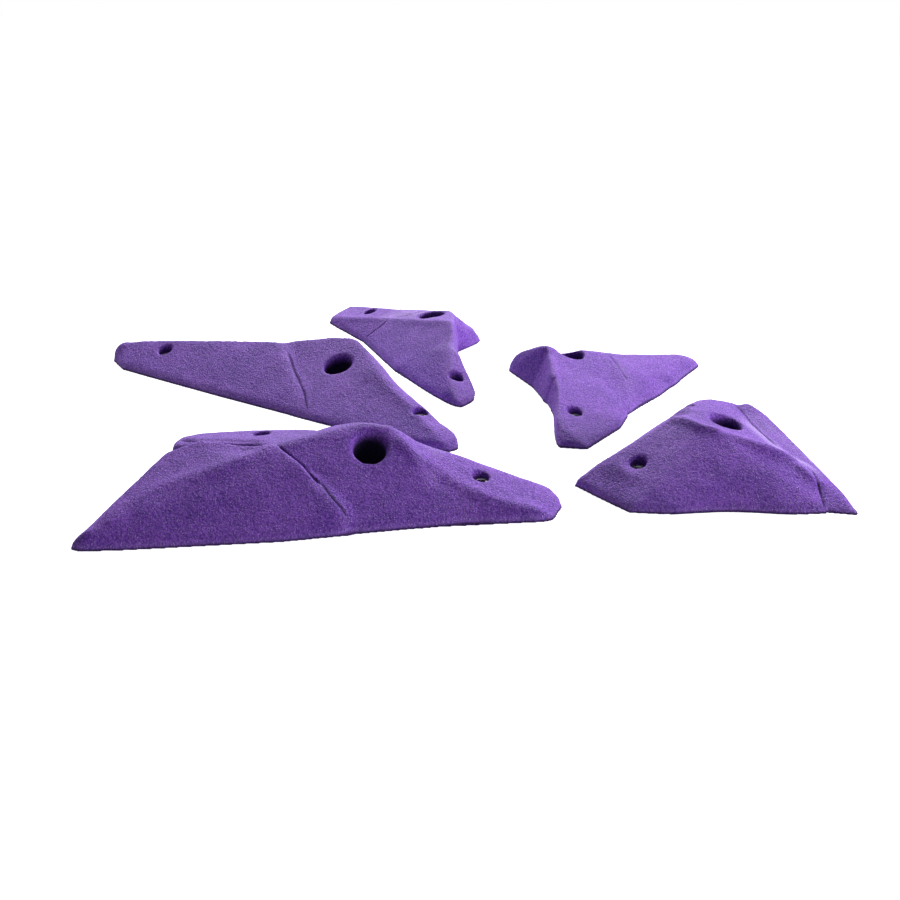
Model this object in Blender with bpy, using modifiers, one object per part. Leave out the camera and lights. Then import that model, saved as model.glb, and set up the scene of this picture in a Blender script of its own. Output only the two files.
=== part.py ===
"""A set of five cast-resin crimp climbing holds, lying flat on their backs.

Each hold is one solid casting with a flat back, steep finger edges and a sloping front, like a piece of
split rock. Its bolt hole is counterbored, and a steel washer is cast in at the counterbore's floor. Its
small screw holes have washers of their own, cast in just under the surface.

Lengths are metres unless a name or a comment says millimetres. +Z points away from the wall, and the
backs lie in the plane z = 0.
"""

import math

import bmesh
import bpy
from mathutils import Matrix, Vector
from mathutils.bvhtree import BVHTree

# Overall size of each casting: along it, across it, and out from the wall
FRONT_LEFT_LENGTH = 0.297
FRONT_LEFT_WIDTH = 0.119
FRONT_LEFT_HEIGHT = 0.044
REAR_LEFT_LENGTH = 0.350
REAR_LEFT_WIDTH = 0.094
REAR_LEFT_HEIGHT = 0.036
REAR_CENTER_LENGTH = 0.136
REAR_CENTER_WIDTH = 0.243
REAR_CENTER_HEIGHT = 0.0335
REAR_RIGHT_LENGTH = 0.157
REAR_RIGHT_WIDTH = 0.190
REAR_RIGHT_HEIGHT = 0.0345
FRONT_RIGHT_LENGTH = 0.172
FRONT_RIGHT_WIDTH = 0.136
FRONT_RIGHT_HEIGHT = 0.0345

# Where each bolt stands, from the front left hold's bolt, and how far the casting is turned, in degrees
REAR_LEFT_RIGHTWARD = -0.035
REAR_LEFT_BACKWARD = 0.184
REAR_CENTER_RIGHTWARD = 0.035
REAR_CENTER_BACKWARD = 0.302
REAR_RIGHT_RIGHTWARD = 0.144
REAR_RIGHT_BACKWARD = 0.2065
FRONT_RIGHT_RIGHTWARD = 0.2345
FRONT_RIGHT_BACKWARD = 0.054
FRONT_LEFT_TURN = 8
REAR_LEFT_TURN = -33

# The upright edge all round the back, and the roundness of the ridges
BACK_LIP = 0.0025
BACK_TRIM = 0.002
RIDGE_ROUND = 0.0014
RIDGE_STEPS = 1
RIDGE_LEAST_ANGLE = math.radians(16)
FLAT_ANGLE = math.radians(1.5)

# Bolt hole: an M10 socket-head bolt on a cast-in washer
BOLT_HEAD_BORE = 0.021
BOLT_BORE = 0.0115
BOLT_SEAT_HEIGHT = 0.012
BOLT_WASHER_DIAMETER = 0.026
BOLT_WASHER_HOLE = 0.0105
BOLT_WASHER_THICKNESS = 0.0025
BOLT_SIDES = 32

# Screw hole: a 5 mm screw on a small cast-in washer, under a thin cover of resin
SCREW_HEAD_BORE = 0.0105
SCREW_BORE = 0.0068
SCREW_WASHER_COVER = 0.0025
SCREW_WASHER_DIAMETER = 0.0125
SCREW_WASHER_HOLE = 0.006
SCREW_WASHER_THICKNESS = 0.0015
SCREW_SIDES = 24

# Between a washer and the resin cast round it
CAST_GAP = 0.0003
MERGE = 0.00001

# Colours, linear, and finishes
RESIN_COLOR = (0.115, 0.050, 0.300, 1.0)
RESIN_ROUGHNESS = 0.85
STEEL_COLOR = (0.55, 0.56, 0.58, 1.0)
STEEL_ROUGHNESS = 0.35

# The castings' plans, drawn in millimetres from the bolt and scaled to the sizes above. A block is one
# mass of the rock: its outline on the back, and the corners (along, across, out) of its top.
FRONT_LEFT = {
    "size": (FRONT_LEFT_LENGTH, FRONT_LEFT_WIDTH, FRONT_LEFT_HEIGHT),
    "place": (0, 0),
    "turn": FRONT_LEFT_TURN,
    "bolt": (0, 0),
    "screws": {"left": (-67, 38), "right": (68, -16)},
    "blocks": {
        "bolt_mass": (
            [(-60, -56), (-22, -53.5), (20, -50.5), (57, -49.5), (52, 10), (34, 23), (3, 30), (-28, 44), (-60, 20)],
            [(-58, 4, 37), (3, 19, 44), (14, 14, 42), (21, 14, 38), (31, 15, 30), (-13, 28, 39), (-25, 34, 35),
             (12, 10.5, 39), (27, -5, 27.5), (38, -14, 21)],
        ),
        "right_arm": (
            [(20, -50), (57, -49.5), (101, -53), (108, -51), (117, -34), (117, -28), (113, -12), (100, -5), (76, 4),
             (48, 18), (25, 24)],
            [(38, -14, 21), (55, -26, 15), (70, -37, 11), (85, -43, 8), (100, -47, 5.5), (30, 15, 30), (48, 10, 25),
             (76, -5, 17), (100, -13, 10), (111, -18, 7), (116, -28, 5), (20, 5, 28)],
        ),
        "left_plate": (
            [(-180, -49), (-174, -53), (-154, -55), (-105, -56), (-58, -57.5), (-16, -54.5), (-22, -20), (-58, 22),
             (-108, 36), (-134, 30), (-146, 3), (-168, -30)],
            [(-172, -48, 6), (-169, -46, 9), (-158, -31, 15), (-138, -3, 24), (-126, 18, 30.5), (-105, 22, 35),
             (-58, 4, 38.2), (-104, -14, 27), (-140, -27, 18), (-44, -12.5, 30.3), (-31, -26, 22.3), (-18, -40, 13.5)],
        ),
        "back_lobe": (
            [(-129, 40), (-122, 55), (-108, 61), (-72, 59), (-40, 50), (-16, 36), (-20, -10), (-60, -20), (-105, 0)],
            [(-124, 42, 25), (-119, 50, 27), (-107, 55, 27), (-74, 52, 28), (-42, 42, 31), (-20, 30, 34),
             (-58, 4, 37), (-105, 22, 32), (-123, 32, 28)],
        ),
    },
}

REAR_LEFT = {
    "size": (REAR_LEFT_LENGTH, REAR_LEFT_WIDTH, REAR_LEFT_HEIGHT),
    "place": (REAR_LEFT_RIGHTWARD, REAR_LEFT_BACKWARD),
    "turn": REAR_LEFT_TURN,
    "bolt": (0, 0),
    "screws": {"left": (-157, -25), "right": (92, -25)},
    "blocks": {
        "bolt_mass": (
            [(-68, -30), (-40, -53.5), (7, -56.5), (33, -56.5), (112, -54), (133, -50), (135, -42), (126, -32),
             (96, -17), (56, -2), (28, 11), (0, 33), (-10, 36), (-28, 34), (-70, 16)],
            [(-9, 29.5, 36), (-2, 28.5, 35.2), (-24, 27, 34.3), (-48, 14, 29.7), (-68, 9, 27.3), (29, 7.5, 28),
             (56, -5.5, 21.7), (72, -12, 18), (96, -20, 12.6), (112, -28, 9), (122, -33, 6), (130, -39, 4.5),
             (59, -10, 20.7), (107, -38, 10), (124, -48, 6)],
        ),
        "left_plate": (
            [(-206, -36), (-201, -41), (-179, -52), (-133, -53.5), (-78, -55), (13, -56), (-4, -30), (-46, 12),
             (-60, 20), (-105, 7), (-156, -8), (-188, -14), (-204, -18), (-212, -26)],
            [(-208, -33, 5), (-210, -27, 7), (-203, -24, 11), (-186, -20, 15.5), (-156, -15, 18.2), (-106, 0, 24.3),
             (-62, 9.5, 28.5), (-47, -4, 24.4), (-22, -26, 15.5), (-1, -41, 9.3), (11, -53, 3.8)],
        ),
    },
}

REAR_CENTER = {
    "size": (REAR_CENTER_LENGTH, REAR_CENTER_WIDTH, REAR_CENTER_HEIGHT),
    "place": (REAR_CENTER_RIGHTWARD, REAR_CENTER_BACKWARD),
    "turn": 0,
    "bolt": (-1, 32),
    "screws": {"left": (-57, 86), "right": (19, -82)},
    "blocks": {
        "bolt_mass": (
            [(-61, 39), (-47, 8), (-30.5, -36), (-11, -70), (0, -89), (14, -72), (20.5, -50), (21.5, -30), (21, 0),
             (21, 22), (18, 50), (-8, 78), (-36, 94), (-52, 80)],
            [(-41, 51, 17.4), (-24, 32, 22.3), (-11, 18, 26), (11, -5, 32.4), (16, -12, 33.3), (17, -23, 31),
             (18, -43, 26), (19, 23, 31), (16, 37, 29.3), (-12, 63, 21), (-38, 80, 18.3)],
        ),
        "leg": (
            [(-24, -47), (-11, -70.5), (3, -94.5), (15, -112), (22, -116), (31, -100), (34, -84), (28, -63),
             (22, -46), (5, -30)],
            [(18, -40, 25.6), (15, -60, 20.5), (13, -75, 15.5), (14, -90, 11.5), (15, -103, 8.5), (18, -113, 4.5),
             (29, -90, 6), (30, -80, 7), (5, -34, 24)],
        ),
        "left_arm": (
            [(-95, 96), (-94, 92), (-75, 65), (-61, 39), (-40, 42), (-30, 70), (-38, 96), (-64, 118), (-80, 127),
             (-92, 106)],
            [(-93, 98, 5), (-68, 78, 9.8), (-55, 64, 13.6), (-41, 51, 17.2), (-33, 45, 18), (-38, 80, 18.6),
             (-64, 108, 12), (-77, 121, 8.5), (-88, 108, 6)],
        ),
        "right_lobe": (
            [(14, 5), (21, 20), (40, 40), (41, 45), (34, 53), (8, 38), (-5, 22)],
            [(17, -2, 31), (25, 23, 24.5), (32, 34, 14.5), (39, 42, 5), (22, 15, 22), (31, 28, 11), (38, 34, 4),
             (17, 24, 30), (4, 24, 26)],
        ),
    },
}

REAR_RIGHT = {
    "size": (REAR_RIGHT_LENGTH, REAR_RIGHT_WIDTH, REAR_RIGHT_HEIGHT),
    "place": (REAR_RIGHT_RIGHTWARD, REAR_RIGHT_BACKWARD),
    "turn": 0,
    "bolt": (4, 9.5),
    "screws": {"low": (0, -80)},
    "blocks": {
        "bolt_mass": (
            [(-25, -1), (-18, -31), (-5, -58), (38, -64), (47, -50), (71, -18), (80, 4), (66, 48), (28, 54),
             (-6, 48), (-24, 34)],
            [(-15, 2, 31.5), (-4, 6, 29.5), (13, 18, 25.3), (29, 23, 22.5), (45, 27, 19), (-13, -10, 28.5),
             (-13, -29.5, 25), (-12.5, -40, 23), (38, -61, 4)],
        ),
        "right_wing": (
            [(36, -56), (48, -49), (72, -18), (95, 20), (113, 48), (114, 54), (104, 66), (66, 56), (40, 40), (22, 18),
             (24, -34)],
            [(40, 23, 20), (42.5, 0, 17.2), (50, -16, 12), (69, 40, 13.5), (94, 56, 9), (104, 58, 6.5),
             (110, 54, 5), (45, -46, 5), (28, 8, 19)],
        ),
        "left_wing": (
            [(-42, 38), (-34, 24), (-25, -1), (-10, -12), (6, 20), (-4, 40), (-36, 52), (-41, 46)],
            [(-36, 40, 14), (-33, 36, 18), (-24, 22, 24.5), (-20, 14, 30), (-17, 2, 34.5), (-12.5, 3, 33.5),
             (-12, -8, 28.7), (-5, 8, 29)],
        ),
        "low_arm": (
            [(-15, -29), (-14.5, -62), (-15.5, -90), (-16, -112), (-14, -120), (5, -123.5), (22, -100), (33, -85),
             (42, -61), (30, -20), (-4, -10)],
            [(-11, -27, 24), (-12, -49, 21), (-12.5, -66, 17.5), (-14, -92, 13.3), (-12, -104, 10.3),
             (-12, -113, 6), (5, -118, 3.5), (32, -79, 4.5), (38, -59, 5.5), (25, -22, 16)],
        ),
    },
}

FRONT_RIGHT = {
    "size": (FRONT_RIGHT_LENGTH, FRONT_RIGHT_WIDTH, FRONT_RIGHT_HEIGHT),
    "place": (FRONT_RIGHT_RIGHTWARD, FRONT_RIGHT_BACKWARD),
    "turn": 0,
    "bolt": (3, 11),
    "screws": {"left": (-60, -29)},
    "blocks": {
        "bolt_mass": (
            [(-101, -29), (-86, -49), (-70.5, -69), (-46, -72), (-9, -67), (33, -72), (51, -70), (56, -46),
             (50, 12), (34, 60), (-6, 64), (-24, 48), (-42, 20), (-70, -6), (-98, -24)],
            [(-99, -29, 5), (-95, -28, 7), (-71, -16, 19), (-43, 2, 29), (-30, 10, 34.5), (-18, 33, 33),
             (-9, 47, 31), (0, 52, 30), (11, 55, 27.3), (18, 56, 25.5), (-19, -7, 33), (-8, -15, 31.5),
             (12, -19, 26.5), (24, -21, 22.5), (34, -14, 18.2), (-9, 20, 32.5), (50, -44, 10.5), (44, -34, 14.5)],
        ),
        "right_strip": (
            [(20, -50), (53, -69), (67, -72), (71, -72), (71, -66), (68, -42), (62, -20), (54, 12), (46, 46),
             (34, 62), (14, 62), (8, 30)],
            [(17, 54, 24.5), (28, 56, 26), (38, 42, 22), (45, 10, 17.5), (49, -3, 15), (57, -21, 10.5),
             (61, -38, 7.5), (65, -43, 6), (68, -67, 3.5), (52, -40, 9), (56, -62, 4), (35, -14, 16.5),
             (28, 14, 18.5), (24, 34, 21)],
        ),
    },
}

HOLDS = {
    "front_left": FRONT_LEFT,
    "rear_left": REAR_LEFT,
    "rear_center": REAR_CENTER,
    "rear_right": REAR_RIGHT,
    "front_right": FRONT_RIGHT,
}


def clear_scene():
    for item in list(bpy.data.objects):
        bpy.data.objects.remove(item, do_unlink=True)


def new_collection(name):
    collection = bpy.data.collections.new(name)
    bpy.context.scene.collection.children.link(collection)
    return collection


def new_material(name, color, roughness, metallic):
    material = bpy.data.materials.new(name)
    material.use_nodes = True
    shader = material.node_tree.nodes["Principled BSDF"]
    shader.inputs["Base Color"].default_value = color
    shader.inputs["Roughness"].default_value = roughness
    shader.inputs["Metallic"].default_value = metallic
    return material


def new_object(name, mesh, collection, parent):
    item = bpy.data.objects.new(name, mesh)
    collection.objects.link(item)
    item.parent = parent
    return item


def mark_as_cutter(item):
    item.hide_render = True
    item.display_type = "WIRE"


def plan_scale(hold):
    """How a drawn corner in millimetres becomes metres at the hold's real size."""
    xs, ys, zs = [], [], []
    for outline, tops in hold["blocks"].values():
        xs += [point[0] for point in outline]
        ys += [point[1] for point in outline]
        zs += [top[2] for top in tops]
    drawn = (max(xs) - min(xs), max(ys) - min(ys), max(zs))
    return [real / length for real, length in zip(hold["size"], drawn)]


def placed(hold, x, y, z=0.0):
    """A drawn point, in metres from the hold's bolt."""
    along, across, out = plan_scale(hold)
    return Vector(((x - hold["bolt"][0]) * along, (y - hold["bolt"][1]) * across, z * out))


def sharp_edges(shape, least_angle):
    return [edge for edge in shape.edges if edge.is_manifold and edge.calc_face_angle() > least_angle]


def rock_block(name, hold, outline, tops, depth, collection, parent):
    """One mass of the rock: the hull of its outline and its corners, with its ridges rounded."""
    shape = bmesh.new()
    for x, y in outline:
        foot = placed(hold, x, y)
        shape.verts.new(foot - Vector((0, 0, depth)))
        shape.verts.new(foot + Vector((0, 0, BACK_LIP)))
    for x, y, z in tops:
        shape.verts.new(placed(hold, x, y, z))
    hull = bmesh.ops.convex_hull(shape, input=shape.verts)
    inside = {item for item in hull["geom_interior"] if isinstance(item, bmesh.types.BMVert)}
    bmesh.ops.delete(shape, geom=list(inside), context="VERTS")
    bmesh.ops.dissolve_limit(shape, angle_limit=FLAT_ANGLE, verts=shape.verts, edges=shape.edges)
    bmesh.ops.bevel(
        shape, geom=sharp_edges(shape, RIDGE_LEAST_ANGLE), offset=RIDGE_ROUND, segments=RIDGE_STEPS,
        profile=0.5, affect="EDGES", clamp_overlap=True,
    )
    bmesh.ops.remove_doubles(shape, verts=shape.verts, dist=MERGE)
    bmesh.ops.triangulate(shape, faces=shape.faces)
    bmesh.ops.recalc_face_normals(shape, faces=shape.faces)
    mesh = bpy.data.meshes.new(name)
    shape.to_mesh(mesh)
    shape.free()
    return new_object(name, mesh, collection, parent)


def back_trimmer(key, hold, layers, collection, parent):
    """A slab under the hold's back, which takes off what its blocks have below z = 0."""
    bpy.ops.mesh.primitive_cube_add(size=1)
    slab = bpy.context.object
    slab.name = f"{key}_back_trimmer"
    for owner in list(slab.users_collection):
        owner.objects.unlink(slab)
    collection.objects.link(slab)
    slab.parent = parent
    reach = 3 * max(hold["size"])
    thickness = 2 * layers * BACK_TRIM
    slab.data.transform(Matrix.Diagonal((reach, reach, thickness, 1)))
    slab.location.z = -thickness / 2
    mark_as_cutter(slab)
    return slab


def turned(name, profile, closed, sides, place, collection, parent):
    """A profile of (radius, height) points turned round the Z axis at a place."""
    mesh = bpy.data.meshes.new(name)
    points = [(radius, 0, height) for radius, height in profile]
    edges = [(i, i + 1) for i in range(len(points) - 1)]
    if closed:
        edges.append((len(points) - 1, 0))
    mesh.from_pydata(points, edges, [])
    item = new_object(name, mesh, collection, parent)
    item.location = place
    spin = item.modifiers.new("turned", "SCREW")
    spin.axis = "Z"
    spin.steps = sides
    spin.render_steps = sides
    spin.use_merge_vertices = True
    spin.merge_threshold = MERGE
    return item


def add_boolean(item, other, operation):
    modifier = item.modifiers.new(other.name, "BOOLEAN")
    modifier.operation = operation
    modifier.solver = "EXACT"
    modifier.object = other


def evaluated_tree(item):
    depsgraph = bpy.context.evaluated_depsgraph_get()
    return BVHTree.FromObject(item, depsgraph)


def surface_height(tree, x, y):
    """Height of the casting's face over a point of its back, in the hold's own axes."""
    hit = tree.ray_cast(Vector((x, y, 1.0)), Vector((0, 0, -1)))
    return hit[0].z


def lowest_round(tree, place, radius, sides=12):
    """The lowest height of the face on a circle round a hole."""
    angles = [2 * math.pi * i / sides for i in range(sides)]
    return min(
        surface_height(tree, place.x + radius * math.cos(a), place.y + radius * math.sin(a)) for a in angles
    )


def hole_profile(head_bore, bore, seat, washer_diameter, washer_thickness, top):
    """Counterbore, the washer's pocket under its floor, and the bore through the back, top to bottom."""
    pocket = washer_diameter / 2 + CAST_GAP
    over = seat + CAST_GAP
    under = seat - washer_thickness - CAST_GAP
    return [
        (0, top), (head_bore / 2, top), (head_bore / 2, over), (pocket, over), (pocket, under),
        (bore / 2, under), (bore / 2, -BACK_LIP), (0, -BACK_LIP),
    ]


def washer_profile(diameter, hole, thickness, seat):
    return [(diameter / 2, seat), (diameter / 2, seat - thickness), (hole / 2, seat - thickness), (hole / 2, seat)]


def add_hole(body, name, place, head_bore, bore, seat, washer, sides, top, cutters):
    """Cut one hole in a body. The washer is (diameter, hole, thickness)."""
    profile = hole_profile(head_bore, bore, seat, washer[0], washer[2], top)
    cutter = turned(f"{name}_cutter", profile, False, sides, place, cutters, body.parent)
    mark_as_cutter(cutter)
    add_boolean(body, cutter, "DIFFERENCE")


def add_washer(name, place, seat, washer, sides, material, parts, parent):
    item = turned(name, washer_profile(*washer, seat), True, sides, place, parts, parent)
    item.data.materials.append(material)
    return item


def build_hold(key, hold, parts, cutters, resin, steel, root):
    frame = bpy.data.objects.new(f"{key}_place", None)
    parts.objects.link(frame)
    frame.parent = root
    frame.location = (*hold["place"], 0)
    frame.rotation_euler.z = math.radians(hold["turn"])

    names = list(hold["blocks"])
    body = rock_block(f"{key}_hold", hold, *hold["blocks"][names[0]], BACK_TRIM, parts, frame)
    body.data.materials.append(resin)
    for count, name in enumerate(names[1:], start=2):
        block = rock_block(f"{key}_{name}", hold, *hold["blocks"][name], count * BACK_TRIM, cutters, frame)
        mark_as_cutter(block)
        add_boolean(body, block, "UNION")
    add_boolean(body, back_trimmer(key, hold, len(names) + 1, cutters, frame), "DIFFERENCE")

    tree = evaluated_tree(body)
    top = hold["size"][2] + RIDGE_ROUND
    bolt_washer = (BOLT_WASHER_DIAMETER, BOLT_WASHER_HOLE, BOLT_WASHER_THICKNESS)
    bolt_place = placed(hold, *hold["bolt"])
    add_hole(body, f"{key}_bolt", bolt_place, BOLT_HEAD_BORE, BOLT_BORE, BOLT_SEAT_HEIGHT, bolt_washer,
             BOLT_SIDES, top, cutters)
    add_washer(f"{key}_bolt_washer", bolt_place, BOLT_SEAT_HEIGHT, bolt_washer, BOLT_SIDES, steel, parts, frame)

    screw_washer = (SCREW_WASHER_DIAMETER, SCREW_WASHER_HOLE, SCREW_WASHER_THICKNESS)
    for side, point in hold["screws"].items():
        place = placed(hold, *point)
        seat = lowest_round(tree, place, SCREW_WASHER_DIAMETER / 2) - SCREW_WASHER_COVER
        add_hole(body, f"{key}_{side}_screw", place, SCREW_HEAD_BORE, SCREW_BORE, seat, screw_washer,
                 SCREW_SIDES, top, cutters)
        add_washer(f"{key}_{side}_screw_washer", place, seat, screw_washer, SCREW_SIDES, steel, parts, frame)
    body.data.set_sharp_from_angle(angle=RIDGE_LEAST_ANGLE)
    return body


def centre_on_table(root, bodies):
    """Put the middle of the whole set's outline over the origin."""
    bpy.context.view_layer.update()
    depsgraph = bpy.context.evaluated_depsgraph_get()
    corners = []
    for body in bodies:
        solid = body.evaluated_get(depsgraph)
        corners += [solid.matrix_world @ vertex.co for vertex in solid.data.vertices]
    for axis in (0, 1):
        values = [corner[axis] for corner in corners]
        root.location[axis] = -(min(values) + max(values)) / 2


def main():
    clear_scene()
    parts = new_collection("crimp_hold_set")
    cutters = new_collection("crimp_hold_cutters")
    resin = new_material("cast_resin", RESIN_COLOR, RESIN_ROUGHNESS, 0.0)
    steel = new_material("zinc_plated_steel", STEEL_COLOR, STEEL_ROUGHNESS, 1.0)
    root = bpy.data.objects.new("crimp_hold_set_place", None)
    parts.objects.link(root)
    bodies = [build_hold(key, hold, parts, cutters, resin, steel, root) for key, hold in HOLDS.items()]
    centre_on_table(root, bodies)
    bpy.context.view_layer.update()


main()
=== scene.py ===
"""The looks of a set of five cast-resin crimp climbing holds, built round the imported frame.

Each casting is made from its solid in the frame: an even mesh, ridges worn soft, cracks where two masses
of the rock meet, and the sandy skin that a cast takes from its mould. The washers that are cast into the
holds are made from their places in the frame. Lengths are metres unless a name or a comment says
millimetres.
"""

import math

import bmesh
import bpy
import numpy as np
from bpy.props import FloatProperty, FloatVectorProperty, IntProperty, PointerProperty
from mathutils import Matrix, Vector


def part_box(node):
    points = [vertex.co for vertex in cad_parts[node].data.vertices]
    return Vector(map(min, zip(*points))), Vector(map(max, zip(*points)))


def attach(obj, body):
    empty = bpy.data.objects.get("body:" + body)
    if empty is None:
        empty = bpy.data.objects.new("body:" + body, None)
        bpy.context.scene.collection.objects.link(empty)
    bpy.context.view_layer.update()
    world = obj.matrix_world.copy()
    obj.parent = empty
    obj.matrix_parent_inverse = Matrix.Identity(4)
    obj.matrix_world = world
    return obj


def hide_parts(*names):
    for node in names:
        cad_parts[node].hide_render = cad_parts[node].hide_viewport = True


bl_info = {
    "name": "Crimp Hold Set",
    "version": (1, 0, 0),
    "blender": (4, 5, 0),
    "location": "View3D > Sidebar > Crimp Holds",
    "description": "Builds a set of cast-resin crimp climbing holds with their cast-in washers",
    "category": "Object",
}

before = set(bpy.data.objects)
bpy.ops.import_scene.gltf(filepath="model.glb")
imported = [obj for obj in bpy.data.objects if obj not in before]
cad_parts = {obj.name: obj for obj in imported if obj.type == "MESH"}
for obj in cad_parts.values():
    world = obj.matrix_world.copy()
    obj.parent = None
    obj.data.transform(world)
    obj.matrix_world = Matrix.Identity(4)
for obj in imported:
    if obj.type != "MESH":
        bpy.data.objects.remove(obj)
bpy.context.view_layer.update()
BODY = "root"
MM = 0.001

# Corners of a solid's faces that lie nearer to each other than this are one point
MERGE = 0.00001

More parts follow.
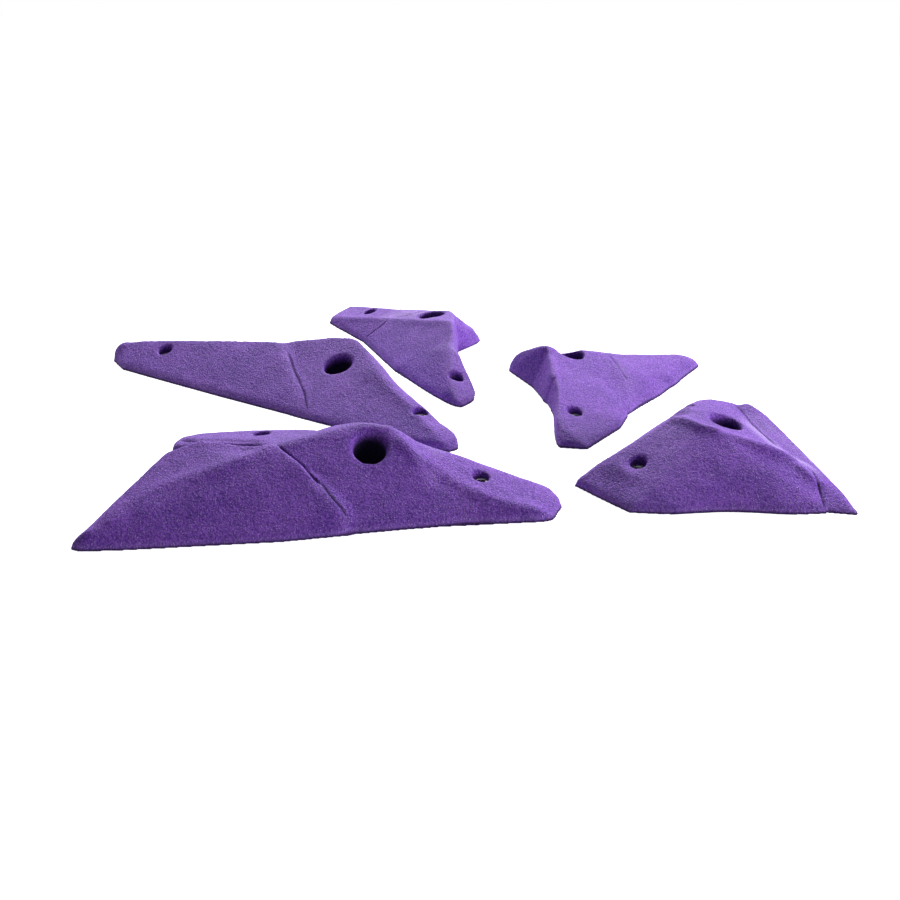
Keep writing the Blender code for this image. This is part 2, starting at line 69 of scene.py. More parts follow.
# Each hold lies turned about its bolt, in degrees, and a long hold's mesh is a little coarser. Places on a
# hold are in millimetres from its bolt, along its own length and across it. A push moves the surface round
# a place by (along, across, out), and dies away over its reach, which is turned as well. A blend wears a
# fold soft along a line, and a ridge line stands up by its lift. A strip of paler skin is a painted
# highlight where the light falls brightly on a facet. A crack is a narrow groove, and its dark share is
# painted shade in it.
HOLDS = {
    "front_left": {
        "turn": 8,
        "coarser": 1.11,
        "pushes": [
            {"at": (-76, 8), "reach": (17, 9), "turn": -20, "move": (0, 0, -2.6)},
            {"at": (-104, 22), "reach": (12, 9), "turn": -20, "move": (0, 0, 0.8)},
            {"at": (-172, -50), "reach": (10, 8), "turn": 0, "move": (0, 0, 2.0)},
            {"at": (39, 4), "reach": (9, 13), "turn": 0, "move": (0, 0, 2.8)},
        ],
        "blends": [
            {"line": [(40, 6), (39, -6), (41, -18), (46, -34), (51, -42), (56, -52)],
             "reach": 8.0, "rounds": 360},
            {"line": [(-34, -25), (-28, -33), (-20, -42), (-17, -52)], "reach": 5.0, "rounds": 160},
            {"line": [(-3, 19), (5, 19)], "reach": 5.0, "rounds": 60},
        ],
        "ridges": [
            {"line": [(-58, 4), (-70, -2), (-89, -9), (-106, -12), (-130, -18), (-148, -31), (-162, -46)],
             "reach": 6.0, "lift": 1.2},
            {"line": [(17, 7), (27, -4), (41, -13), (56, -28), (73, -39), (94, -47), (105, -50)],
             "reach": 5.5, "lift": 1.2},
        ],
        "painted_highlights": [],
        "cracks": [
            {"line": [(-58, 6), (-53, -1), (-43, -11), (-36, -21), (-31, -26.5)],
             "width": 0.8, "depth": 1.5, "dark": 0.9},
            {"line": [(-32, -23.5), (-28, -31), (-24, -37), (-20, -42), (-18, -46)],
             "width": 0.7, "depth": 0.7, "dark": 1.0},
            {"line": [(-120, 42), (-105, 28), (-90, 20), (-74, 14), (-62, 8)],
             "width": 1.4, "depth": 1.4, "dark": 0.7},
            # Painted shade: a wide shallow band where the lobe lies in shade behind the crest
            {"line": [(-120, 44), (-106, 34), (-90, 27), (-75, 21), (-63, 13)],
             "width": 2.6, "depth": 0.4, "dark": 0.45},
        ],
    },
    "rear_left": {
        "turn": -33,
        "coarser": 1.04,
        "pushes": [
            {"at": (56, -6), "reach": (30, 11), "turn": -23, "move": (-1.6, -3.6, 0)},
            {"at": (124, -36), "reach": (12, 8), "turn": -23, "move": (1.2, 2.2, 1.4)},
            {"at": (-206, -31), "reach": (7, 8), "turn": 0, "move": (0, 0, 3.2)},
        ],
        "blends": [
            {"line": [(-60, 7), (-42, -8), (-28, -19), (-4, -37), (8, -49)], "reach": 6.0, "rounds": 140},
        ],
        "ridges": [
            {"line": [(32, 3), (60, -11), (82, -23), (106, -37), (125, -47)], "reach": 5.0, "lift": 0.6},
        ],
        "painted_highlights": [],
        "cracks": [
            {"line": [(-50, 0), (-39, -9), (-31, -16), (-19, -25), (-5, -36), (3, -44), (11, -52)],
             "width": 0.7, "depth": 0.8, "dark": 0.85},
        ],
    },
    "rear_center": {
        "turn": 0,
        "coarser": 1.0,
        "pushes": [
            {"at": (30, -136), "reach": (16, 16), "turn": 0, "move": (2.0, -2.0, 0)},
            {"at": (38, 0), "reach": (7, 7), "turn": 0, "move": (0, 0, 3.0)},
        ],
        "blends": [
            {"line": [(-23, -79), (6, -66), (19, -70)], "reach": 8.0, "rounds": 260},
        ],
        "ridges": [
            {"line": [(-91, 62), (-66, 41), (-40, 20), (-10, -15), (12, -36), (18, -39), (20, -47),
                      (20, -58)], "reach": 4.0, "lift": 0.8},
            {"line": [(20, -12), (25, -15), (28, -13), (32, -8), (39, 3)], "reach": 3.5, "lift": 1.2},
        ],
        # Painted highlights: paler strips on the facets that the light falls on brightly
        "painted_highlights": [
            {"line": [(24, -10), (31, -2), (38, 8)], "reach": 3.0, "share": 0.3},
            {"line": [(-44, 36), (-20, 16), (14, -5)], "reach": 12.0, "share": 0.28},
        ],
        "cracks": [
            {"line": [(-38, 16), (-45, 12), (-51, 10.5), (-58, 7)],
             "width": 0.9, "depth": 0.7, "dark": 0.5},
            {"line": [(-9, 17), (-17, 11), (-25, 12), (-33, 15)],
             "width": 2.0, "depth": 0.6, "dark": 0.12},
        ],
    },
    "rear_right": {
        "turn": 0,
        "coarser": 1.0,
        "pushes": [
            {"at": (78, 2), "reach": (9, 9), "turn": 0, "move": (1.4, -1.4, 0)},
            {"at": (-21, -72), "reach": (9, 20), "turn": 0, "move": (2.0, 0, 0)},
            {"at": (-20, -46), "reach": (10, 12), "turn": 0, "move": (-1.4, 0, 0)},
        ],
        "blends": [
            {"line": [(34, 2), (40, -19), (46, -36), (50, -50)], "reach": 8.0, "rounds": 320},
        ],
        "ridges": [
            {"line": [(-21, -10), (-17, -26), (-15, -46), (-15, -69), (-17, -87)],
             "reach": 4.0, "lift": 0.9},
        ],
        "painted_highlights": [],
        "cracks": [
            {"line": [(32, 10), (35, 0), (40, -19), (43, -27)], "width": 0.8, "depth": 0.5, "dark": 0.25},
        ],
    },
    "front_right": {
        "turn": 0,
        "coarser": 1.0,
        "pushes": [
            {"at": (-12, -84), "reach": (30, 16), "turn": 0, "move": (0, 4.5, 0)},
            {"at": (-77, -42), "reach": (17, 8), "turn": -42, "move": (0, 0, 1.8)},
            {"at": (-30, 6), "reach": (6, 5.5), "turn": 0, "move": (0, 0, -3.4)},
            {"at": (26, -32), "reach": (17, 7), "turn": -12, "move": (0, -2.5, 2.4)},
            {"at": (44, -48), "reach": (12, 6), "turn": -50, "move": (0, -2.0, 2.4)},
        ],
        "blends": [],
        "ridges": [
            {"line": [(-33, -2), (-22, -18), (1, -26), (16, -31), (30, -34), (45, -38), (48, -47)],
             "reach": 4.5, "lift": 1.2},
            {"line": [(-39, -2), (-30, -11), (-20, -19), (-8, -24)], "reach": 3.5, "lift": 0.9},
        ],
        # Painted highlights: paler strips along the facets that face the light
        "painted_highlights": [
            {"line": [(14, 22), (17, 12), (20, 1), (25, -12), (33, -25), (45, -38), (58, -48)],
             "reach": 5.0, "share": 0.5},
            {"line": [(20, 34), (32, 8), (46, -18), (60, -42)], "reach": 8.0, "share": 0.14},
        ],
        "cracks": [
            {"line": [(14, 44), (18, 31), (20, 15), (24, 1), (27, -8), (31, -20)],
             "width": 1.1, "depth": 1.2, "dark": 0.4},
            {"line": [(48, -43), (48, -55), (48, -66), (47, -80)], "width": 0.8, "depth": 1.0, "dark": 0.7},
            # Painted shade: a short dark line where a small step face lies in shadow
            {"line": [(-26, 17), (-22, 19.5), (-17, 21)], "width": 1.4, "depth": 1.2, "dark": 0.5},
        ],
    },
}

# From here to the colours, lengths are in millimetres.

# Radii of a hole from the frame's solids: the head's bore, the washer's pocket and the bore through the
# back. The castings keep them round: points this near to a circle are its wall, and those that wear leaves
# this near to it are put back on it.
BOLT_BORE_RADII = (10.5, 13.3, 5.75)
SCREW_BORE_RADII = (5.25, 6.55, 3.4)
ROUND_SLACK = 0.25
WORN_SLACK = 0.375

# Radii of the holes through the washers
BOLT_HOLE_RADIUS = 5.25
SCREW_HOLE_RADIUS = 3.0

# A push leaves the surface alone this near to a hole, in hole radii, and is whole at twice that. Its
# outward part grows from nothing on the floor to its full size at this height.
CLEAR_OF_HOLE = 1.2
FULL_PUSH_HEIGHT = 8.0

# The upright edge round the back, as the frame has it and as it is worn down to, and how far above and
# below the edge the difference dies away
EDGE_HEIGHT = 2.5
WORN_EDGE_HEIGHT = 1.3
EDGE_REACH = 1.5

# In one round, wear draws a point this share of the way to its neighbours' middle. The holes' walls take
# this weight of it, a point with less than the least weight takes none of a blend, and the back is what
# lies within this share of a mesh step of the floor.
WEAR_SHARE = 0.5
WALL_WEIGHT = 0.15
LEAST_WEIGHT = 0.02
BACK_SLACK = 0.25

# Share of a line's length over which a crack, a ridge line or a painted highlight strip runs out at each
# end
CRACK_END = 0.12
RIDGE_END = 0.06
HIGHLIGHT_END = 0.2

# Upward parts of a normal: a bore's wall has less than the first, a lip's wall less than the second, a
# hole's rim more than the third, and the painted shade at the foot of a casting falls where it is less than
# the fourth. Ridge lines and cracks come in with the upward part times the last.
UPRIGHT = 0.5
LIP_LEAN = 0.75
RIM_LEAN = 0.3
FOOT_SHADE_LEAN = 0.8
CARVING_GAIN = 2.5

# The lip of a hole: its rim's height is read between these distances outside the bore, its wall lies this
# near to the bore's circle, its top starts this far inside, and none of it comes nearer to the washer
RIM_NEAR = 0.4
RIM_FAR = 2.0
LIP_SLACK = 0.45
LIP_INSIDE = 0.2
ABOVE_WASHER = 0.4

# Paleness of the worn ridges, whole where wear took a full millimetre, and darkness of the painted contact
# shadow along the foot, which starts this high
WORN_PALENESS = 0.12
WORN_FULLY = 1.0
FOOT_SHADE = 0.85
FOOT_SHADE_HEIGHT = 1.8

# Up and down, the skin's grain starts this high above the floor and is whole this much higher. On a lip it
# has this share of its height.
GRAIN_START = 0.5
GRAIN_RISE = 1.5
LIP_GRAIN = 0.6

# A washer's edges sharper than this stay sharp
SHARP_ANGLE = math.radians(50)

# The floor's width in metres, and how far it lies under the backs, so that the two don't flicker
FLOOR_WIDTH = 8.0
FLOOR_DROP = 0.02


def linear(hex_color):
    """An sRGB hex colour as linear RGBA."""
    parts = [int(hex_color[i:i + 2], 16) / 255 for i in (1, 3, 5)]
    return (*[p / 12.92 if p <= 0.04045 else ((p + 0.055) / 1.055) ** 2.4 for p in parts], 1.0)


class CastingSettings(bpy.types.PropertyGroup):
    """Sizes of the castings' mesh and skin."""

    mesh_step: FloatProperty(
        name="Mesh Step", description="Size of the quads that a casting is remeshed to",
        default=0.0008, min=0.0004, max=0.004, unit="LENGTH", precision=5,
    )
    wear_rounds: IntProperty(
        name="Wear Rounds", description="How often the ridges are worn softer", default=15, min=0, max=90,
    )
    bolt_lip: FloatProperty(
        name="Bolt Lip", description="Radius of the soft lip round a bolt hole",
        default=0.0028, min=0, max=0.006, unit="LENGTH", precision=4,
    )
    screw_lip: FloatProperty(
        name="Screw Lip", description="Radius of the soft lip round a screw hole",
        default=0.0014, min=0, max=0.002, unit="LENGTH", precision=4,
    )
    swell_size: FloatProperty(
        name="Swell Size", description="Length of the broad unevenness of the carved faces",
        default=0.022, min=0.002, max=0.2, unit="LENGTH", precision=4,
    )
    swell_height: FloatProperty(
        name="Swell Height", description="Height of the broad unevenness",
        default=0.0007, min=0, max=0.005, unit="LENGTH", precision=5,
    )
    grain_size: FloatProperty(
        name="Grain Size", description="Size of the coarse grains in the skin",
        default=0.0021, min=0.0005, max=0.02, unit="LENGTH", precision=5,
    )
    grain_height: FloatProperty(
        name="Grain Height", description="Height of the coarse grains",
        default=0.00032, min=0, max=0.002, unit="LENGTH", precision=5,
    )
    seed: IntProperty(name="Seed", description="Which noise the skin is made of", default=7)


class ResinSettings(bpy.types.PropertyGroup):
    """Colours and finish of the pigmented resin."""

    body: FloatVectorProperty(
        name="Body", description="Pigmented resin", subtype="COLOR", size=4, min=0, max=1,
        default=linear("#8953c4"),
    )
    deep: FloatVectorProperty(
        name="Deep", description="Resin in the pits of the grain", subtype="COLOR", size=4, min=0, max=1,
        default=linear("#4d278a"),
    )
    # Pale colour of the worn ridges, which is real wear, and of the painted highlights on single grains and
    # strips
    pale_wear_and_highlight: FloatVectorProperty(
        name="Pale Wear And Highlight", description="Scuffed grains and ridges", subtype="COLOR", size=4, min=0, max=1,
        default=linear("#bca4e4"),
    )
    roughness: FloatProperty(
        name="Roughness", description="Roughness of the skin", default=0.68, min=0, max=1, subtype="FACTOR",
    )


class WasherSettings(bpy.types.PropertyGroup):
    """Sizes and colour of the cast-in steel washers."""

    edge_round: FloatProperty(
        name="Edge Round", description="Radius that stamping leaves on a washer's edges",
        default=0.0003, min=0.00005, max=0.0006, unit="LENGTH", precision=5,
    )
    sides: IntProperty(name="Sides", description="Sides of a washer's circle", default=72, min=12, max=256)
    steel: FloatVectorProperty(
        name="Steel", description="Zinc-plated steel", subtype="COLOR", size=4, min=0, max=1,
        default=linear("#a2a2a6"),
    )


class StageSettings(bpy.types.PropertyGroup):
    """Camera and light."""

    lens: FloatProperty(
        name="Lens", description="Focal length of the camera in millimetres", default=50.0, unit="CAMERA",
    )
    pitch: FloatProperty(
        name="Pitch", description="How far the camera looks down", default=math.radians(23.2),
        subtype="ANGLE",
    )
    height: FloatProperty(name="Height", description="Camera's height", default=0.34, unit="LENGTH")
    from_bolt: FloatVectorProperty(
        name="From Bolt", description="Camera's place on the floor from the front left bolt",
        default=(0.0504, -0.7202), size=2, unit="LENGTH", precision=4,
    )
    key: FloatProperty(
        name="Key", description="Power of the soft light behind the set, in watts", default=97.0,
        unit="POWER",
    )
    side: FloatProperty(
        name="Side", description="Power of the low light on the right, in watts", default=30.0,
        unit="POWER",
    )
    fill: FloatProperty(name="Fill", description="Strength of the surrounding light", default=0.09)


def add_node(tree, kind, settings=None, **values):
    """Add a node, set its properties, and set or link its inputs, given by name with _ for a space."""
    made = tree.nodes.new(kind)
    for name, value in (settings or {}).items():
        setattr(made, name, value)
    for key, value in values.items():
        number = int(key[1:]) if key[0] == "i" and key[1:].isdigit() else key.replace("_", " ")
        socket = made.inputs[number]
        if isinstance(value, bpy.types.NodeSocket):
            tree.links.new(value, socket)
        else:
            socket.default_value = value
    return made


def new_material(name):
    material = bpy.data.materials.new(name)
    material.use_nodes = True
    material.node_tree.nodes.clear()
    return material, material.node_tree


def resin_material(settings):
    """Pigmented polyurethane resin, cast in a silicone mould of a sandy master: matt and granular."""
    material, tree = new_material("cast_polyurethane_resin")
    place = add_node(tree, "ShaderNodeTexCoord").outputs["Object"]
    # Clouds of pigment about 26 mm wide, which is 38 to the metre
    clouds = add_node(tree, "ShaderNodeTexNoise", Vector=place, Scale=38.0, Detail=3.0, Roughness=0.6)
    # Sand grains, with finer grit between them, drawn coarser than real sand so that they show: 1.4 mm wide
    grit = add_node(
        tree, "ShaderNodeTexNoise", Vector=place, Scale=1 / (1.4 * MM), Detail=3.0, Roughness=0.72,
    )
    # Single grains that stand out and catch the light, about 1.5 mm apart
    grains = add_node(tree, "ShaderNodeTexVoronoi", {"feature": "F1"}, Vector=place, Scale=1 / (1.5 * MM))
    # From deep in the pits to the body's colour: seven parts grit and three parts clouds
    pits = add_node(tree, "ShaderNodeMapRange", Value=grit.outputs["Fac"], From_Min=0.42, From_Max=0.58)
    cloudy = add_node(tree, "ShaderNodeMapRange", Value=clouds.outputs["Fac"], From_Min=0.35, From_Max=0.65)
    share = add_node(tree, "ShaderNodeMath", {"operation": "MULTIPLY"}, i0=cloudy.outputs["Result"], i1=0.3)
    tone = add_node(
        tree, "ShaderNodeMath", {"operation": "MULTIPLY_ADD"}, i0=pits.outputs["Result"], i1=0.7,
        i2=share.outputs[0],
    )
    base = add_node(
        tree, "ShaderNodeMix", {"data_type": "RGBA"}, Factor=tone.outputs[0], i6=settings.deep,
        i7=settings.body,
    )
    # A little over half of the single grains are painted pale on top as painted highlights, and the ridge
    # attribute adds real wear on the worn ridges and the painted highlight strips
    specks = add_node(
        tree, "ShaderNodeMapRange", Value=grains.outputs["Distance"], From_Min=0.05, From_Max=0.42,
        To_Min=1.0, To_Max=0.0,
    )
    chance = add_node(tree, "ShaderNodeSeparateColor", Color=grains.outputs["Color"])
    lit = add_node(tree, "ShaderNodeMath", {"operation": "GREATER_THAN"}, i0=chance.outputs[0], i1=0.45)
    bright = add_node(
        tree, "ShaderNodeMath", {"operation": "MULTIPLY"}, i0=specks.outputs["Result"], i1=lit.outputs[0],
    )
    pale = add_node(tree, "ShaderNodeMath", {"operation": "MULTIPLY"}, i0=bright.outputs[0], i1=0.42)
    # Real wear on the ridges, and the painted highlight strips
    ridge = add_node(tree, "ShaderNodeAttribute", {"attribute_name": "ridge"})
    wear_and_highlight_share = add_node(
        tree, "ShaderNodeMath", {"operation": "ADD", "use_clamp": True}, i0=ridge.outputs["Fac"],
        i1=pale.outputs[0],
    )
    pale_wear_and_highlight = add_node(
        tree, "ShaderNodeMix", {"data_type": "RGBA"}, Factor=wear_and_highlight_share.outputs[0], i6=base.outputs[2],
        i7=settings.pale_wear_and_highlight,
    )
    # Painted shade where light doesn't reach: down in the cracks, along the foot, and in the holes from 1
    # to 8 mm under their mouths
    crack = add_node(tree, "ShaderNodeAttribute", {"attribute_name": "crack"})
    depth = add_node(tree, "ShaderNodeAttribute", {"attribute_name": "depth"})
    sunk = add_node(
        tree, "ShaderNodeMapRange", Value=depth.outputs["Fac"], From_Min=1.0, From_Max=8.0, To_Max=1.0,
    )
    shut = add_node(
        tree, "ShaderNodeMath", {"operation": "MULTIPLY_ADD", "use_clamp": True}, i0=crack.outputs["Fac"],
        i1=0.9, i2=sunk.outputs[0],
    )
    color = add_node(
        tree, "ShaderNodeMix", {"data_type": "RGBA"}, Factor=shut.outputs[0], i6=pale_wear_and_highlight.outputs[2],
        i7=linear("#120828"),
    )
    # The light sees grit up to 1 mm high and single grains of 0.4 mm, which is higher than real sand too
    fine = add_node(tree, "ShaderNodeBump", Strength=1.0, Distance=1.0 * MM, Height=grit.outputs["Fac"])
    bump = add_node(
        tree, "ShaderNodeBump", Strength=0.8, Distance=0.5 * MM, Height=bright.outputs[0],
        Normal=fine.outputs[0],
    )
    rough = add_node(
        tree, "ShaderNodeMapRange", Value=shut.outputs[0], To_Min=settings.roughness, To_Max=1.0,
    )
    # A sandy skin shines less than smooth resin, which would have 0.5
    surface = add_node(
        tree, "ShaderNodeBsdfPrincipled", Base_Color=color.outputs[2], Roughness=rough.outputs[0],
        IOR=1.5, Specular_IOR_Level=0.16, Normal=bump.outputs[0],
    )
    add_node(tree, "ShaderNodeOutputMaterial", Surface=surface.outputs[0])
    return material


def steel_material(settings):
    """Zinc-plated steel: bright, faintly blue, with a fine brushed grain from the barrel."""
    material, tree = new_material("zinc_plated_steel")
    place = add_node(tree, "ShaderNodeTexCoord").outputs["Object"]
    # Scratches about 0.5 mm wide, and blotches about 6 mm wide that are duller or brighter
    grain = add_node(tree, "ShaderNodeTexNoise", Vector=place, Scale=1 / (0.5 * MM), Detail=3.0)
    blotch = add_node(tree, "ShaderNodeTexNoise", Vector=place, Scale=1 / (6 * MM), Detail=2.0)
    rough = add_node(
        tree, "ShaderNodeMapRange", Value=blotch.outputs["Fac"], From_Min=0.3, From_Max=0.7, To_Min=0.24,
        To_Max=0.42,
    )
    bump = add_node(tree, "ShaderNodeBump", Strength=0.2, Distance=0.05 * MM, Height=grain.outputs["Fac"])
    surface = add_node(
        tree, "ShaderNodeBsdfPrincipled", Base_Color=settings.steel, Metallic=1.0,
        Roughness=rough.outputs[0], Normal=bump.outputs[0],
    )
    add_node(tree, "ShaderNodeOutputMaterial", Surface=surface.outputs[0])
    return material


def middle_of(node):
    """The middle of a node's box, on the floor."""
    low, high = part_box(node)
    return np.array([(low.x + high.x) / 2, (low.y + high.y) / 2])


def own_axes(key):
    """The hold's bolt on the floor and the directions of its own length and width."""
    turn = math.radians(HOLDS[key]["turn"])
    along = np.array([math.cos(turn), math.sin(turn)])
    return middle_of(f"{key}_bolt_washer"), along, np.array([-along[1], along[0]])


def washer_nodes(key):
    """The names of a hold's washers, in order."""
    found = [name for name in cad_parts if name.startswith(f"{key}_") and name.endswith("_washer")]
    return sorted(found)


def holes(key):
    """Each hole of a hold: its middle on the floor, its washer's top, its radii and if it takes a bolt."""
    found = []
    for node in washer_nodes(key):
        bolt = "bolt" in node
        radii = BOLT_BORE_RADII if bolt else SCREW_BORE_RADII
        found.append((middle_of(node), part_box(node)[1].z, radii, bolt))
    return found


def read_vectors(items, name):
    """A vector of each item of a mesh, such as its place, as an array of rows."""
    values = np.empty(len(items) * 3, np.float32)
    items.foreach_get(name, values)
    return values.reshape(-1, 3).astype(float)


def write_points(mesh, points):
    mesh.vertices.foreach_set("co", points.astype(np.float32).ravel())
    mesh.update()


def store(mesh, name, values):
    """Keep a number, or a vector, for each point under a name."""
    vectors = values.ndim == 2
    attribute = mesh.attributes.new(name, "FLOAT_VECTOR" if vectors else "FLOAT", "POINT")
    attribute.data.foreach_set("vector" if vectors else "value", values.astype(np.float32).ravel())


def even_mesh(node, step):
    """The node's solid as even quads."""
    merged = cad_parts[node].data.copy()
    shape = bmesh.new()
    shape.from_mesh(merged)
    bmesh.ops.remove_doubles(shape, verts=shape.verts, dist=MERGE)
    shape.to_mesh(merged)
    shape.free()
    item = bpy.data.objects.new(f"{node}_solid", merged)
    bpy.context.scene.collection.objects.link(item)
    remesh = item.modifiers.new("quads", "REMESH")
    remesh.mode = "VOXEL"
    remesh.voxel_size = step
    bpy.context.view_layer.update()
    mesh = bpy.data.meshes.new_from_object(item.evaluated_get(bpy.context.evaluated_depsgraph_get()))
    bpy.data.objects.remove(item, do_unlink=True)
    return mesh


def neighbour_mean(points, edges, counts):
    """The mean of each point's neighbours."""
    total = np.zeros_like(points)
    for axis in range(points.shape[1]):
        for here, there in ((0, 1), (1, 0)):
            total[:, axis] += np.bincount(edges[:, here], points[edges[:, there], axis], len(points))
    return total / counts[:, None]


def worn(points, edges, weights, rounds):
    """Points drawn towards their neighbours, where the weights let them."""
    counts = np.bincount(edges.ravel(), minlength=len(points))
    pull = WEAR_SHARE * weights[:, None]
    for _ in range(rounds):
        points = points + pull * (neighbour_mean(points, edges, counts) - points)
    return points


def bore_walls(points, key):
    """Which points lie on the walls of the holes, with their hole's middle and radius."""
    on_wall = np.zeros(len(points), bool)
    middles = np.zeros((len(points), 2))
    radii = np.zeros(len(points))
    for middle, _, hole_radii, _ in holes(key):
        away = np.hypot(*(points[:, :2] - middle).T) / MM
        for radius in hole_radii:
            near = np.abs(away - radius) < ROUND_SLACK
            on_wall |= near
            middles[near] = middle
            radii[near] = radius * MM
    return on_wall, middles, radii


def distance_to_line(places, line):
    """Each place's distance to a line of points, and how far along the line it is, from 0 to 1."""
    best = np.full(len(places), np.inf)
    along = np.zeros(len(places))
    line = np.array(line, float)
    lengths = np.hypot(*np.diff(line, axis=0).T)
    done = 0.0
    for start, end, length in zip(line[:-1], line[1:], lengths):
        way = (end - start) / length
        t = np.clip((places - start) @ way, 0, length)
        away = np.hypot(*(places - start - t[:, None] * way).T)
        nearer = away < best
        best[nearer] = away[nearer]
        along[nearer] = (done + t[nearer]) / lengths.sum()
        done += length
    return best, along


def near_line(places, line, reach, end=0.0):
    """1 on a line, dying away over the reach, and running out over a share of the line at each end."""
    away, along = distance_to_line(places, line)
    near = np.exp(-((away / reach) ** 2))
    if end:
        near = near * np.clip(np.minimum(along, 1 - along) / end, 0, 1)
    return near


def own_places(points, key):
    """Places on the hold's own axes, in millimetres from its bolt."""
    middle, along, across = own_axes(key)
    places = (points[:, :2] - middle) / MM
    return np.stack([places @ along, places @ across], axis=1)


def carve_cracks(points, key, facing_up):
    """Cut each crack as a narrow groove that runs out at its ends, and give how dark it is."""
    places = own_places(points, key)
    groove = np.zeros(len(points))
    for crack in HOLDS[key]["cracks"]:
        cut = near_line(places, crack["line"], crack["width"], CRACK_END) * facing_up
        points[:, 2] -= cut * crack["depth"] * MM
        groove = np.maximum(groove, cut * crack["dark"])
    return groove


def raise_ridges(points, key, facing_up):
    """Lift the surface along each ridge line, so that the faces meet there more sharply."""
    places = own_places(points, key)
    for ridge in HOLDS[key]["ridges"]:
        near = near_line(places, ridge["line"], ridge["reach"], RIDGE_END)
        points[:, 2] += near * facing_up * ridge["lift"] * MM


def painted_highlight_share(points, key):
    """How strongly each point takes the painted highlight strips, from 0 to 1."""
    places = own_places(points, key)
    share = np.zeros(len(points))
    for highlight_strip in HOLDS[key]["painted_highlights"]:
        near = near_line(places, highlight_strip["line"], highlight_strip["reach"], HIGHLIGHT_END)
        share = np.maximum(share, near * highlight_strip["share"])
    return share


def push_surface(points, key):
    """Move the surface round each push's place, but leave the holes as they are."""
    places = own_places(points, key)
    _, along, across = own_axes(key)
    clear = np.ones(len(points))
    for middle, _, radii, _ in holes(key):
        away = np.hypot(*(points[:, :2] - middle).T) / (radii[0] * MM)
        clear *= np.clip(away / CLEAR_OF_HOLE - 1, 0, 1)
    risen = np.clip(points[:, 2] / (FULL_PUSH_HEIGHT * MM), 0, 1)
    for push in HOLDS[key]["pushes"]:
        turn = math.radians(push["turn"])
        way = np.array([math.cos(turn), math.sin(turn)])
        from_place = places - np.array(push["at"], float)
        u = from_place @ way / push["reach"][0]
        v = from_place @ np.array([-way[1], way[0]]) / push["reach"][1]
        share = np.exp(-(u ** 2) - v ** 2) * clear * MM
        forward, sideways, out = push["move"]
        points[:, :2] += share[:, None] * (forward * along + sideways * across)
        points[:, 2] += share * risen * out


def round_mouths(points, normals, key, settings):
    """Roll each hole's edge over a quarter circle, and give which points moved and the depths in holes."""
    moved = np.zeros(len(points), bool)
    depth = np.zeros(len(points))
    for middle, washer_top, radii, bolt in holes(key):
        radius = radii[0] * MM
        lip = settings.bolt_lip if bolt else settings.screw_lip
        away = points[:, :2] - middle
        far = np.hypot(*away.T)
        angle = np.arctan2(away[:, 1], away[:, 0])
        rim_like = normals[:, 2] > RIM_LEAN
        above = points[:, 2] > washer_top + ABOVE_WASHER * MM

        # The height of the rim all round, which isn't level
        ring = (far > radius + RIM_NEAR * MM) & (far < radius + RIM_FAR * MM) & rim_like
        ring &= points[:, 2] > washer_top
        order = np.argsort(angle[ring])
        angles = angle[ring][order]
        heights = points[ring, 2][order]
        turns = np.r_[angles - 2 * math.pi, angles, angles + 2 * math.pi]
        mouth = np.interp(angle, turns, np.tile(heights, 3))
        under = mouth - points[:, 2]

        # The first half of the quarter circle is bent from the wall, and the second half from the rim
        wall = (np.abs(far - radius) < LIP_SLACK * MM) & (np.abs(normals[:, 2]) < LIP_LEAN) & above
        wall &= under < lip
        top = (far > radius - LIP_INSIDE * MM) & (far < radius + lip) & above & ~wall & rim_like
        bend = np.zeros(len(points))
        bend[wall] = 0.5 * (1 - np.clip(under[wall] / lip, 0, 1))
        bend[top] = 0.5 + 0.5 * np.clip((far[top] - radius) / lip, 0, 1)
        bend *= math.pi / 2
        both = wall | top
        new_far = radius + lip * (1 - np.cos(bend[both]))
        drop = lip * (1 - np.sin(bend[both]))
        points[both, :2] = middle + away[both] * (new_far / far[both])[:, None]
        level = np.where(wall[both], mouth[both], points[both, 2])
        points[both, 2] = level - drop
        moved |= both
        inside = far < radius + RIM_NEAR * MM
        depth[inside] = np.clip(under[inside] / MM, 0, None)
    return moved, depth


def wear_nearby(points, edges, weights, rounds):
    """Wear only the points that have some weight, and leave the rest as they are."""
    live = weights > LEAST_WEIGHT
    near = live[edges[:, 0]] | live[edges[:, 1]]
    chosen = np.unique(edges[near])
    number = np.full(len(points), -1)
    number[chosen] = np.arange(len(chosen))
    points[chosen] = worn(points[chosen], number[edges[near]], np.where(live, weights, 0)[chosen], rounds)


def worn_down(points, edges, weights, key, settings):
    """Points with every ridge worn soft, and softer still along the blends."""
    coarser = HOLDS[key]["coarser"]
    points = worn(points, edges, weights, round(settings.wear_rounds / coarser ** 2))
    places = own_places(points, key)
    for blend in HOLDS[key]["blends"]:
        share = near_line(places, blend["line"], blend["reach"])
        wear_nearby(points, edges, weights * share, round(blend["rounds"] / coarser ** 2))
    return points


def keep_round(points, wall, middles, radii):
    """Put the points of the holes' walls back on their circles."""
    away = points[wall, :2] - middles[wall]
    lengths = np.hypot(*away.T)
    close = np.abs(lengths - radii[wall]) < WORN_SLACK * MM
    target = np.where(close, radii[wall], lengths)
    points[wall, :2] = middles[wall] + away * (target / lengths)[:, None]


def lower_edge(points, wall):
    """Wear down the upright edge round the back, but not the holes' walls."""
    near_edge = np.exp(-(((points[:, 2] / MM - EDGE_HEIGHT) / EDGE_REACH) ** 2))
    points[~wall, 2] -= (near_edge * (EDGE_HEIGHT - WORN_EDGE_HEIGHT) * MM)[~wall]


